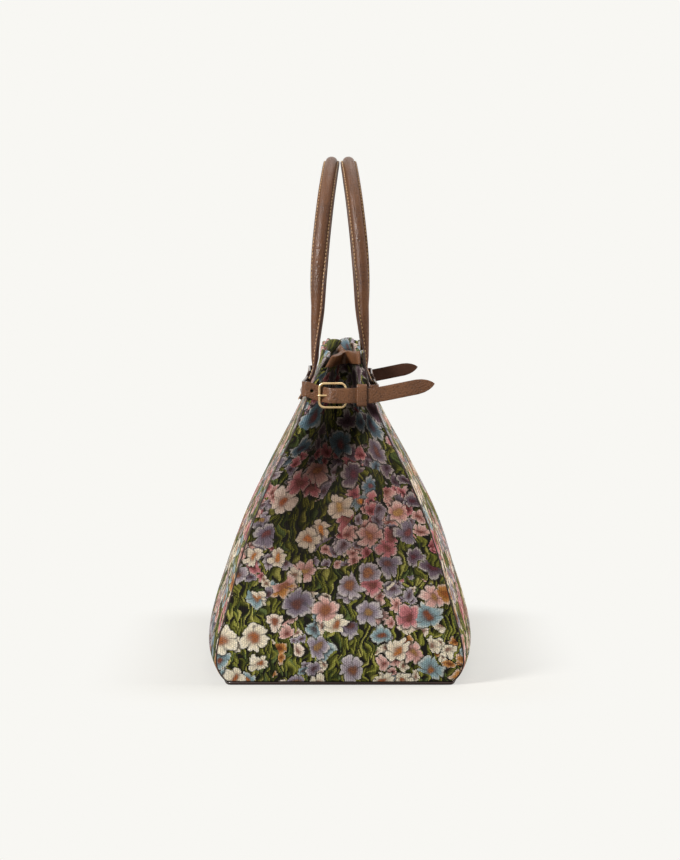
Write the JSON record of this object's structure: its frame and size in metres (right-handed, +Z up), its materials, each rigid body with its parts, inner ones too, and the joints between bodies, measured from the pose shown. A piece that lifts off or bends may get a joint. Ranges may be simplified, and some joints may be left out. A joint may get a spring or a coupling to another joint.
{
  "type": "tote bag",
  "caption": "Standing jacquard tote bag with folded end gussets drawn in by buckled side straps, and padded leather handles arching over the mouth.",
  "frame": {"origin": "middle of the base, on the floor", "axes": "+X along the length of the bag, +Y from the front panel to the back panel, +Z up"},
  "size_m": [0.3792, 0.2298, 0.437],
  "materials": {
    "jacquard": "woven floral jacquard with fine ribs",
    "leather": "pebbled brown, satin",
    "dark_leather": "smooth dark brown",
    "board": "plain stiffener",
    "buckle": "pale gold plated"
  },
  "bodies": {
    "root": {"front_panel": "jacquard", "back_panel": "jacquard", "gusset_right": "jacquard", "gusset_left": "jacquard", "base_panel": "dark_leather", "base_board": "board", "binding_right": "leather", "binding_left": "leather", "piping_front_right": "dark_leather", "piping_front_left": "dark_leather", "piping_back_right": "dark_leather", "piping_back_left": "dark_leather", "handle_front": "leather", "handle_back": "leather", "side_strap_right": "leather", "side_strap_left": "leather", "chape_right": "leather", "chape_left": "leather", "keeper_right": "leather", "keeper_left": "leather", "buckle_frame_right": "buckle", "buckle_frame_left": "buckle", "buckle_tongue_right": "buckle", "buckle_tongue_left": "buckle"}
  },
  "joints": []
}
